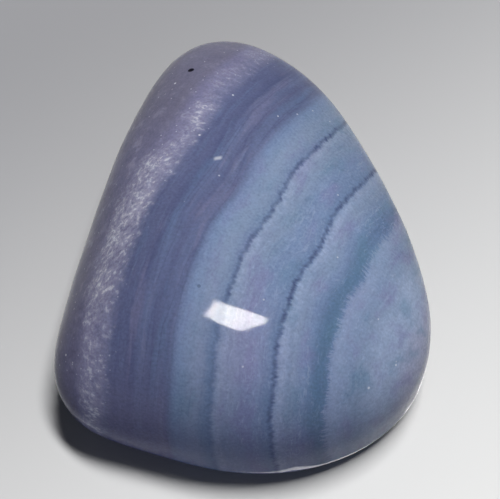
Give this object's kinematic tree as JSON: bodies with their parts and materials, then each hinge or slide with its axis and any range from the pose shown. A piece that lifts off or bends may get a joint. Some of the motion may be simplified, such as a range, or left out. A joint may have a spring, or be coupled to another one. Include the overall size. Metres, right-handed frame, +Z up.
{
  "type": "blue chalcedony tumbled stone",
  "caption": "Tumbled and polished pebble of banded blue chalcedony, a rounded triangle with a crown that is thicker on one side and a small flat spot it rests on.",
  "frame": {"origin": "centre of the footprint's bounding box, on the surface the stone rests on", "axes": "+Z up from the flat spot, +Y towards the narrow tip, +X to the right when looking from the broad end to the tip"},
  "size_m": [0.0254, 0.0334, 0.013],
  "materials": {
    "polished_chalcedony": "tumble-polished, waxy gloss"
  },
  "bodies": {
    "root": {"chalcedony_stone": "polished_chalcedony"}
  },
  "joints": []
}
